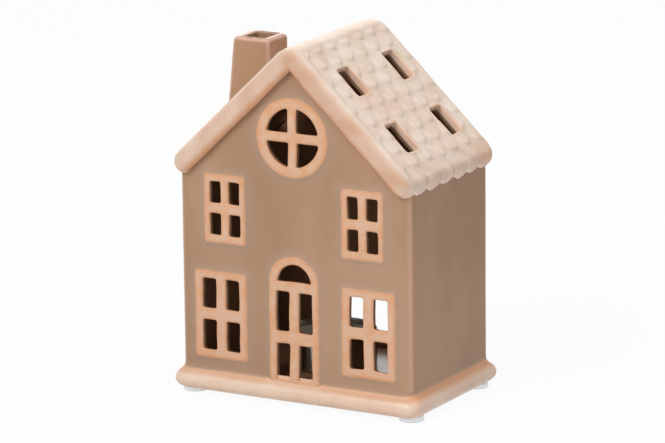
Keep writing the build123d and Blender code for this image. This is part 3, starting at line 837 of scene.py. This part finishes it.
# relief of the tiles: each course is a row of wedges with round ends, thickest at the end, and the
# highest course at a point covers the rest. Distance into a tile's end: its half width less
# sqrt(across^2 + (half width * distance past where the end starts to curve / end length)^2)
def tileRelief(s, y):
    reach = reachOf(s)
    draw = np.random.default_rng(tiles["seed"])
    ridge = 1 - smoothStep(5.0, 8.8, reach)
    height, paintedShade, highlight = ridge, np.zeros(np.shape(s)), np.zeros(np.shape(s))
    for course in range(tiles["courses"] + 1):
        last = course == tiles["courses"]
        end = tiles["lastEnd"] if last else tiles["first"] + course * tiles["course"]
        pitch, half, endLength, slant = tiles["eave" if last else "field"]
        shift = pitch / 2 * (course % 2)  # every other course is laid half a tile along
        index = np.floor((y + shift) / pitch + 0.5).astype(int)
        across = y + shift - index * pitch
        tile = (index + 24) * 2 + (s > 0)  # a number for each tile of both slopes
        jitter = draw.uniform(-1, 1, (3, 100))
        across = across + tiles["unevenAcross"] * jitter[0][tile]
        lower = end + tiles["unevenEave" if last else "unevenDown"] * jitter[1][tile]
        past = np.maximum(reach - (lower - endLength), 0) * half / endLength
        inside = half - np.hypot(across, past)
        wedge = np.clip(1 - (lower - reach) / slant, 0, 1)
        thick = 1 + tiles["unevenHeight"] * jitter[2][tile]
        here = wedge * thick * smoothStep(-tiles["soft"], tiles["soft"], inside)
        height = np.maximum(height, here)
        # painted shade just outside each tile's round end
        shade = smoothStep(lower - 0.8 * endLength, lower, reach)
        if last:  # the shade between the scallops starts higher and is fainter
            shade = 0.5 * smoothStep(lower - 2.2 * endLength, lower - 0.9 * endLength, reach)
        covered = inside < -0.3
        paintedShade = np.maximum(paintedShade * covered, shade * bell(inside, -0.4, 0.6))
        # a painted highlight just inside each tile's round end
        lit = bell(inside, 0.8, 0.6) * smoothStep(lower - endLength, lower - 0.5, reach)
        highlight = np.maximum(highlight * covered, lit)
    cut = smoothStep(tiles["lastEnd"] - 6.5, tiles["lastEnd"] - 3.5, reach)
    bed = tiles["bed"] - tiles["eaveCut"] * cut
    return bed + (1 - bed) * np.clip(height, 0, 1.12), paintedShade, highlight, bell(inside, 0.1, 0.8)


# distance out of the nearest slot: the greatest distance into any, turned negative
def slotField(s, y):
    amount, wavelength, seed = slots["wobble"]
    s = s + sway(s, y, amount, wavelength, seed)
    y = y + sway(s, y, amount, wavelength, seed + 1)
    nearest = np.full(np.shape(s), -1e3)
    for reach in slots["reaches"]:
        for middle in slots["ys"]:
            inside = insideBox(np.abs(s) - alongOf(reach), y - middle,
                               slots["halfLength"], slots["halfWidth"], slots["corner"])
            nearest = np.maximum(nearest, inside)
    return -nearest


# distance out of the flue's hole, which has the flue's clearance all round and its middle a
# millimetre under the tile face
def flueField(s, y):
    under, clearance, pitch = 1.0, 0.1, house["pitch"]
    middle = alongOf((-chimney["x"] + under * np.sin(pitch)) / np.cos(pitch))
    return -insideBox(s + middle, y, chimney["flueHalfWidth"] / np.cos(pitch) + clearance,
                      chimney["flueHalfDepth"] + clearance, chimney["flueCorner"])


# the roof's underside: a ceiling over the chamber, then down the sides of its pocket
def ceilingSheet(s, y):
    pitch, cover = house["pitch"], roof["cover"]
    chamberS = alongOf((house["halfWidth"] - house["wall"] + cover * np.sin(pitch)) / np.cos(pitch))
    chamberY = house["halfDepth"] - house["wall"]
    past = np.hypot(np.maximum(np.abs(s) - chamberS, 0), np.maximum(np.abs(y) - chamberY, 0))
    depth = cover + (roof["thickness"] - cover) * np.clip(past / roof["pocketRun"], 0, 1)
    widen = (depth - cover) * np.tan(pitch)
    x, z = foldRoof(np.sign(s) * np.minimum(np.abs(s), chamberS + widen), depth)
    return np.column_stack([x, np.clip(y, -chamberY, chamberY), z])


# how strong the painted shade and the peach are: peach round the edges, the back eave and the slots;
# painted shade in the laps under the tile ends, along the verges' smooth band (more on the right slope,
# where more light falls), towards the eaves and at the crest
def roofGlazeOver(s, y, over, toEave, toSlot, paintedShade):
    pastFlat = np.abs(s) - flatHalfS
    edge = smoothStep(6.4, 9.2, over) * patchy(s, y, *roofTones["edge"]) * (1 - 0.6 * toEave)
    eave = smoothStep(-12.0, 3.0, pastFlat) * patchy(s, y, *roofTones["eave"])
    eave *= 1 - 0.8 * smoothStep(1.0, 4.0, over)
    back = smoothStep(-14.0, 3.0, pastFlat) * smoothStep(6.0, 34.0, y) * patchy(s, y, *roofTones["back"])
    band = smoothStep(0.5, 3.5, over) * patchy(s, y, *roofTones["band"]) * (1 - toEave)
    band *= 0.38 + 0.14 * (s > 0)
    slot = 0.6 * np.exp(-np.maximum(toSlot, 0) / 0.7)
    crest = 1 - smoothStep(2.0, 9.0, reachOf(s))
    shade = 1.25 * paintedShade + 1.6 * band + eave + 0.22 * crest
    peach = np.maximum.reduce([edge, 0.4 * band, slot, back + 0.14 * toEave * (over > 0)])
    return np.clip(shade, 0, 1), np.clip(peach, 0, 1)


# the roof as one glazed skin: a flat grid of (s, y) with slots and flue trimmed out, tiles raised
# on it, its edges turned down by their profiles, and the whole folded over the ridge
def makeRoof():
    def spread(half):
        step = roof["edgeSpacing"]
        inner = np.linspace(-half, half, int(2 * half / roof["spacing"]))
        outer = half + np.arange(step, edgeRun + 2 * step, step)
        return np.concatenate([-outer[::-1], inner, outer])

    def field(p, q):
        return np.minimum.reduce([edgeRun - beyondFlat(p, q)[0], slotField(p, q), flueField(p, q)])

    s, y = np.meshgrid(spread(flatHalfS), spread(flatHalfY))
    quads = gridQuads(*s.shape)
    s, y = s.ravel(), y.ravel()
    quads = trimGrid(s, y, quads, field)
    over, awayS, awayY = beyondFlat(s, y)
    vergePart = [np.interp(over / edgeRun, vergeShare, row) for row in vergeCurve]
    eavePart = [np.interp(over / edgeRun, eaveShare, row) for row in eaveCurve]
    toEave = awayS ** 2
    out, depth, turn = [v + (e - v) * toEave for v, e in zip(vergePart, eavePart)]

    # the tiles fade out beside the verges and the slots
    height, paintedShade, highlight, scallopHighlight = tileRelief(s, y)
    toSlot = slotField(s, y)
    verge = flatHalfY - np.abs(y) + roof["outAtEave"] * smoothStep(flatHalfS - 3, flatHalfS, np.abs(s))
    verge += roof["outAtBack"] * (y > 0)
    tiled = smoothStep(0.2, 3.0, verge) * smoothStep(0.0, 2.4, toSlot)
    height = roof["border"] + (height - roof["border"]) * tiled
    paintedShade, highlight = paintedShade * tiled, highlight * tiled
    height *= smoothStep(12.0, 10.0, over)
    height = roof["relief"] * height - roof["slotDrop"] * roundedDrop(toSlot, roof["slotRound"])
    height += sway(s, y, *roof["ripple"]) * smoothStep(0.5, 0.0, over)
    height += sway(s, y, *roof["vergeRipple"]) * smoothStep(0.0, 3.0, over) * (1 - toEave)
    planS = s + awayS * (out - over + height * np.sin(turn))
    planY = y + awayY * (out - over + height * np.sin(turn))
    x, z = foldRoof(planS, depth - height * np.cos(turn))
    outer, ceiling = np.column_stack([x, planY, z]), ceilingSheet(s, y)
    sheets = [outer, sheetAt(outer, ceiling, 0.6), sheetAt(outer, ceiling, 0.67), ceiling]
    points, faces = solidBetween(sheets, quads)

    # a painted highlight along the rims of the eave's scallops, and fainter on the tiles' round ends
    paintedHighlight = np.maximum(scallopHighlight * smoothStep(3.2, 5.2, over) * toEave ** 2, 0.35 * highlight * (1 - toEave))
    shade, peach = roofGlazeOver(s, y, over, toEave, toSlot, paintedShade)
    values = {
        "paintedShade": bySheet(len(s), shade, 0, 0, 0),
        "rim": bySheet(len(s), peach, 0.12, 0.3, 0),
        # the inside tone on the ceiling and deep in the slots, partly as painted shade
        "inside": bySheet(len(s), 0, 0.1, 0.95, 1),
        "paintedHighlight": bySheet(len(s), 0.9 * paintedHighlight, 0, 0, 0),
    }
    makePiece("tiledRoof", points, faces, roofGlaze, "house",
              ["roof_shell", "left_roof_tiles", "right_roof_tiles"], values)


makeRoof()


# the chimney as rings: up the leaning stack, over its rim and down the flue. Its outer side leans,
# and the lean fades to nothing on the side that faces the ridge
def makeChimney():
    spec, top, rim, mouth = chimney, chimney["top"], chimney["rim"], chimney["mouth"]
    steps = {"flatSteps": 10, "cornerSteps": 7}
    slope = np.tan(house["pitch"])

    def slabHeight(x, depth):
        return house["tileApex"] - depth / np.cos(house["pitch"]) - np.abs(x) * slope

    stack = roundedRing(spec["halfWidth"], spec["halfDepth"], spec["corner"], **steps)
    splay = np.tan(np.radians(spec["lean"])) * (0.5 - 0.5 * stack[:, 0] / spec["halfWidth"])
    fromRidge = -spec["x"] - stack[:, 0]
    low = (slabHeight(fromRidge, spec["sunk"]) - top * splay * slope) / (1 - splay * slope)
    # paler down the corners, on the rim and round the flue's mouth: thin glaze with a painted highlight;
    # painted light on the side facing +x
    fromCorner = np.abs(stack) - np.array([spec["halfWidth"], spec["halfDepth"]]) + spec["highlightInset"]
    cornerHighlight = spec["highlight"] * np.exp(-(fromCorner ** 2).sum(axis=1) / spec["highlightSpread"])
    rings, tone, deep = [], [], []

    def addRing(ring, highlight, inside=0.0):
        rings.append(ring)
        tone.append(highlight + 0 * cornerHighlight)
        deep.append(inside)

    for share in np.linspace(0, 1, 22):
        z = low + share * (top - rim - low)
        addRing(np.column_stack([stack[:, 0] + spec["x"] - splay * (top - z), stack[:, 1], z]),
                cornerHighlight + spec["paintedSideLight"] * (stack[:, 0] > spec["halfWidth"] - 0.5))
    for turn in np.radians(np.linspace(10, 90, 8)):
        inset, z = rim * (1 - np.cos(turn)), top - rim * (1 - np.sin(turn))
        ring = levelRing(roundedRing(spec["halfWidth"] - inset, spec["halfDepth"] - inset,
                                     spec["corner"] - 0.5 * inset, **steps), z, spec["x"])
        ring[:, 0] -= splay * (top - z)
        addRing(ring, np.maximum(spec["highlight"] * np.sin(2 * turn) ** 2, cornerHighlight * np.cos(turn)))
    for turn in np.radians(np.linspace(90, 0, 8)):
        grow = mouth * (1 - np.cos(turn))
        ring = roundedRing(spec["flueHalfWidth"] + grow, spec["flueHalfDepth"] + grow,
                           spec["flueCorner"] + grow, **steps)
        addRing(levelRing(ring, top - mouth * (1 - np.sin(turn)), spec["x"]),
                spec["highlight"] * np.sin(2 * turn) ** 2)
    flue = roundedRing(spec["flueHalfWidth"], spec["flueHalfDepth"], spec["flueCorner"], **steps)
    flueLow = slabHeight(flue[:, 0] + spec["x"], spec["flueSunk"])
    # down the flue the inside tone comes in, as painted shade deeper down
    for share in np.linspace(0.1, 1, 9):
        z = top - mouth + share * (flueLow - top + mouth)
        addRing(levelRing(flue, z, spec["x"]), 0, 0.3 + 0.7 * smoothStep(0.05, 0.30, share))

    # the last ring is joined to the first across the foot
    points, quads, _ = ringSkin(rings)
    count = len(stack)
    last, column = (len(rings) - 1) * count, np.arange(count)
    after = (column + 1) % count
    footQuads = np.stack([last + column, last + after, after, column], axis=1)
    swell = sway(points[:, 0] + points[:, 1], points[:, 2], *spec["swell"])
    points[:, 0] += swell * np.sign(points[:, 0] - spec["x"])
    values = {"thinGlazeAndHighlight": np.concatenate(tone), "inside": np.repeat(deep, count),
              "halo": np.zeros(len(points))}
    makePiece("chimneyStack", points, np.concatenate([quads, footQuads]), mochaGlaze, "house",
              ["chimney"], values)


makeChimney()


# plinth
plinth = {
    "bottom": 2.0,
    "round": 4.0,              # radius of the half-round moulding
    "roundOffset": -0.3,       # of its centre from the wall face
    "roundHeight": 6.0,
    "roundEnd": 57,            # degrees at which the cove takes over
    "coveRadius": 4.0,
    "coveTop": 12.75,
    "coveOffset": 0.05,
    "ring": 15.0,              # width of the ring it stands on
    "recess": 3.5,
    "lip": 0.3,                # how far the cove's top laps into the wall
    "swell": (0.10, 40.0, 61),
    "sink": 0.08,              # keeps the swell inside the solid
    "drift": (0.5, 30.0, 62),  # of the line where the glazes meet
}


# the plinth: a profile of (offset from the wall face, height) carried round the walls, with corners
# that grow less than the offset outside and as much as it inside
def makePlinth():
    spec = plinth
    bottom, floor, ring, joint = spec["bottom"], house["floorTop"], spec["ring"], house["wall"] - 0.1
    ceiling = bottom + spec["recess"]
    profile = [(-32.0, ceiling), (-ring - 0.6, ceiling), (-ring, ceiling - 0.6), (-ring, bottom + 0.5),
               (-ring + 0.5, bottom), (-8.0, bottom), (-3.0, bottom)]
    profile += arcPoints(spec["roundOffset"], spec["roundHeight"], spec["round"], -90, spec["roundEnd"], 26)
    profile += arcPoints(spec["coveOffset"] + spec["coveRadius"], spec["coveTop"], spec["coveRadius"],
                         -124, -180, 12)
    hidden = len(profile)  # from here on the walls cover it
    profile += [(-spec["lip"], spec["coveTop"]), (-spec["lip"], house["plinthTop"]),
                (-joint, house["plinthTop"]), (-joint, floor), (-12.0, floor), (-30.0, floor)]
    rings = []
    for offset, z in profile:
        corner = max(1.0, house["cornerRadius"] + (0.4 if offset > 0 else 1.0) * offset)
        outline = roundedRing(house["halfWidth"] + offset, house["halfDepth"] + offset, corner, 44, 10)
        rings.append(levelRing(outline, z))
    points, quads, caps = ringSkin(rings)
    heights = points[:, 2].copy()
    row = np.repeat(np.arange(len(profile)), len(rings[0]))
    onMoulding = smoothStep(-1.0, 2.0, np.array([p[0] for p in profile])[row])
    swell = (sway(points[:, 0], points[:, 1], *spec["swell"]) - spec["sink"]) * onMoulding
    points[:, 0] *= 1 + swell / house["halfWidth"]
    points[:, 1] *= 1 + swell / house["halfDepth"]

    # peach on the shoulder and mocha up the cove, weaker in front of the door
    drift = sway(points[:, 0], points[:, 1], *spec["drift"])
    doorway = (1 - smoothStep(11.0, 13.5, np.abs(points[:, 0] - door["x"]))) * (points[:, 1] < 0)
    onSide = smoothStep(house["halfWidth"] - 4, house["halfWidth"] + 1, np.abs(points[:, 0]))
    peach = smoothStep(7.8, 10.2, heights - 0.5 * drift) * (0.75 + 0.25 * onSide)
    cove = smoothStep(0, 1.3, heights + 0.3 * drift - 10.3 - 0.9 * onSide) * (1 - doorway)
    values = {
        "rim": np.clip(0.9 * peach * (1 - 0.4 * doorway), 0, 1),
        "cove": cove * (row < hidden),
        "inside": 1.0 * (row >= hidden),
    }
    makePiece("mouldedPlinth", points, quads, plinthGlaze, "house",
              ["plinth_base"], values, caps)


makePlinth()


# feet
foot = {"radius": 5.25, "height": 2.0, "x": 51.5, "y": 28.5, "edge": 0.45}


# a foot under each corner: a disc with a round lower edge and a rounder upper one
def makeFeet():
    radius, edge, top = foot["radius"], foot["edge"], foot["height"]
    profile = arcPoints(radius - edge, edge, edge, -90, 0, 6)
    profile += arcPoints(radius - 2 * edge, top - 2 * edge, 2 * edge, 0, 90, 9)
    for endName, signY in (("Front", -1), ("Back", 1)):
        for hand, signX in (("Left", -1), ("Right", 1)):
            points, quads, caps = ringSkin(turnedRings(profile, signX * foot["x"], signY * foot["y"], 64))
            makePiece(f"foot{endName}{hand}", points, quads, clearBumper, "house",
                      [f"foot_{endName.lower()}_{hand.lower()}"], caps=caps)


makeFeet()


# tealight
tealight = {"x": 0.0, "y": -2.0, "radius": 18.5, "rim": 19.0, "height": 15.5, "gauge": 0.35,
            "bead": 0.35, "footRound": 1.0, "flat": 15.0, "flutes": 40, "fluteDepth": 0.07,
            "waxRadius": 17.95, "waxTop": 23.5, "waxHole": 0.9, "wickTop": 29.3, "wickRadius": 0.75,
            "wickLean": 0.5}


# the cup, the wax and the wick, each turned about the tealight's axis
def makeTealight():
    x, y, low = tealight["x"], tealight["y"], house["floorTop"]
    radius, gauge, top = tealight["radius"], tealight["gauge"], low + tealight["height"]
    bead, footRound = tealight["bead"], tealight["footRound"]
    profile = [(tealight["flat"], low + 0.05)]
    profile += arcPoints(radius - footRound, low + footRound, footRound, -90, 0, 7)
    profile += [(radius, z) for z in np.linspace(low + 2.0, top - 0.9, 10)]
    profile += arcPoints(tealight["rim"] - bead, top - bead, bead, -60, 150, 12)
    profile += [(radius - gauge, z) for z in np.linspace(top - 0.9, low + 1.2, 10)]
    profile += [(radius - gauge - 0.6, low + gauge + 0.05), (13.0, low + gauge + 0.05)]
    points, quads, caps = ringSkin(turnedRings(profile, x, y, 120))
    angle = np.arctan2(points[:, 1] - y, points[:, 0] - x)
    depth = tealight["fluteDepth"]
    flutes = depth * np.cos(tealight["flutes"] * angle) * smoothStep(low + 0.8, low + 3, points[:, 2])
    flutes *= smoothStep(top - 1.0, top - 2.2, points[:, 2])
    points[:, 0] += (flutes - depth) * np.cos(angle)
    points[:, 1] += (flutes - depth) * np.sin(angle)
    makePiece("tealightCup", points, quads, cupMetal, "tealight", ["tealight_cup"], caps=caps)

    # the wax climbs the cup and the wick, and dishes between them
    outer, hole = tealight["waxRadius"], tealight["waxHole"]
    r = np.concatenate([[outer] * 2, np.linspace(outer, hole, 30)])
    z = tealight["waxTop"] + 0.45 * np.exp(-(outer - r) / 0.7) + 0.35 * np.exp(-(r - hole) / 0.6)
    z[:2] = [low + gauge + 0.1, low + 8]
    points, quads, caps = ringSkin(turnedRings(list(zip(r, z)), x, y, 90))
    points[:, 2] += sway(points[:, 0], points[:, 1], 0.08, 14.0, 71) * (points[:, 2] > 20)
    makePiece("tealightWax", points, quads, wax, "tealight", ["tealight_wax"], caps=caps)

    # the wick: a plaited tube along a line that bows a little
    steps = 16
    height = np.linspace(tealight["waxTop"] - 8, tealight["wickTop"], 60)
    lean = tealight["wickLean"] * smoothStep(tealight["waxTop"], tealight["wickTop"], height) ** 2
    turn = np.linspace(0, 2 * np.pi, steps, endpoint=False)
    plait = 1 + 0.12 * np.sin(3 * turn[None, :] + 2.4 * height[:, None])
    spread = tealight["wickRadius"] * plait
    spread[-1] *= 0.5
    points = np.stack([x + lean[:, None] + spread * np.cos(turn), y + spread * np.sin(turn),
                       np.repeat(height[:, None], steps, axis=1)], axis=2)
    points, quads, caps = ringSkin(list(points))
    makePiece("tealightWick", points, quads, wickCotton, "tealight", ["tealight_wick"], caps=caps)


makeTealight()
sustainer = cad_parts["wick_sustainer"]
sustainer.data.materials.clear()
sustainer.data.materials.append(cupMetal)


# floor, light and camera, in metres and watts
studio = {"floorSize": 12.0, "floorTone": 0.86, "floorGlow": 0.94, "ambient": 0.13}
softboxes = {                  # place, the point it faces, size, power
    "keySoftbox": ((-0.35, -1.25, 1.25), (0, 0, 0.07), (0.9, 0.9), 20.0),
    "fillSoftbox": ((1.5, -0.2, 0.7), (0, 0, 0.07), (0.9, 0.9), 0.5),
    "topSoftbox": ((0.30, 0.40, 1.6), (0, 0, 0.1), (1.0, 1.0), 10.0),
    "backSoftbox": ((-0.80, 1.55, 0.80), (0, 0, 0.07), (0.9, 0.9), 5.0),
    "stripSoftbox": ((0.42, -0.30, 0.26), (0, -0.03, 0.1), (0.05, 0.5), 0.40),
}
view = {"place": (0.8954, -1.5824, 0.5098), "yaw": 29.528, "down": 13.543, "roll": -0.620,
        "lens": 242.5, "sensor": 36.0, "clip": (0.05, 60.0)}


# 1 for what the camera sees itself, in a reflection or through glass, 0 for light that spreads
def seenDirectly(tree):
    path = addNode(tree, "ShaderNodeLightPath").outputs
    seen = path["Is Camera Ray"]
    for kind in ("Is Glossy Ray", "Is Transmission Ray"):
        seen = addNode(tree, "ShaderNodeMath", {0: seen, 1: path[kind]}, operation="MAXIMUM").outputs[0]
    return seen


# a square of white paper: part plain paper that takes the shadow, part glow where it is seen
def makeFloor():
    half, tone = studio["floorSize"] / 2, studio["floorTone"]
    corners = [(-half, -half, 0), (half, -half, 0), (half, half, 0), (-half, half, 0)]
    mesh = bpy.data.meshes.new("studioFloor")
    mesh.from_pydata(corners, [], [(0, 1, 2, 3)])
    floor = bpy.data.objects.new("studioFloor", mesh)
    bpy.context.scene.collection.objects.link(floor)
    material = bpy.data.materials.new("studioPaper")
    material.use_nodes = True
    tree = material.node_tree
    tree.nodes.clear()
    paper = addNode(tree, "ShaderNodeBsdfDiffuse", {"Color": (tone, tone, tone, 1)})
    glow = addNode(tree, "ShaderNodeEmission", {"Color": (1, 1, 1, 1), "Strength": 1.0})
    share = addNode(tree, "ShaderNodeMath", {0: seenDirectly(tree), 1: studio["floorGlow"]},
                    operation="MULTIPLY").outputs[0]
    mixed = addNode(tree, "ShaderNodeMixShader", {0: share, 1: paper.outputs[0], 2: glow.outputs[0]})
    addNode(tree, "ShaderNodeOutputMaterial", {"Surface": mixed.outputs[0]})
    mesh.materials.append(material)


# a white room: full white where it is seen, the ambient strength where it lights
def makeWorld():
    world = bpy.data.worlds.new("studioRoom")
    bpy.context.scene.world = world
    world.use_nodes = True
    tree = world.node_tree
    tree.nodes.clear()
    strength = rangeOf(tree, seenDirectly(tree), 0, 1, studio["ambient"], 1.0)
    room = addNode(tree, "ShaderNodeBackground", {"Color": (1, 1, 1, 1), "Strength": strength})
    addNode(tree, "ShaderNodeOutputWorld", {"Surface": room.outputs[0]})


# an area lamp at a place, turned so that it faces its target
def addSoftbox(name, place, target, size, power):
    light = bpy.data.lights.new(name, "AREA")
    light.shape = "RECTANGLE"
    light.size, light.size_y = size
    light.energy = power
    lamp = bpy.data.objects.new(name, light)
    lamp.location = place
    lamp.rotation_euler = (Vector(target) - Vector(place)).to_track_quat("-Z", "Y").to_euler()
    bpy.context.scene.collection.objects.link(lamp)


# the photograph's camera: turned left by the yaw, down, and rolled about its line of sight
def makeCamera():
    yaw, down, roll = np.radians([view["yaw"], view["down"], view["roll"]])
    ahead = Vector((-np.sin(yaw) * np.cos(down), np.cos(yaw) * np.cos(down), -np.sin(down)))
    right = Vector((np.cos(yaw), np.sin(yaw), 0))
    up = right.cross(ahead)
    right, up = right * np.cos(roll) + up * np.sin(roll), up * np.cos(roll) - right * np.sin(roll)
    lens = bpy.data.cameras.new("studioCamera")
    lens.lens, lens.sensor_width = view["lens"], view["sensor"]
    lens.clip_start, lens.clip_end = view["clip"]
    camera = bpy.data.objects.new("studioCamera", lens)
    turned = Matrix((right, up, -ahead)).transposed().to_4x4()
    camera.matrix_world = Matrix.Translation(view["place"]) @ turned
    bpy.context.scene.collection.objects.link(camera)
    bpy.context.scene.camera = camera


makeFloor()
makeWorld()
for name, spec in softboxes.items():
    addSoftbox(name, *spec)
makeCamera()
bpy.context.scene.view_settings.view_transform = "Standard"
print("stage set")
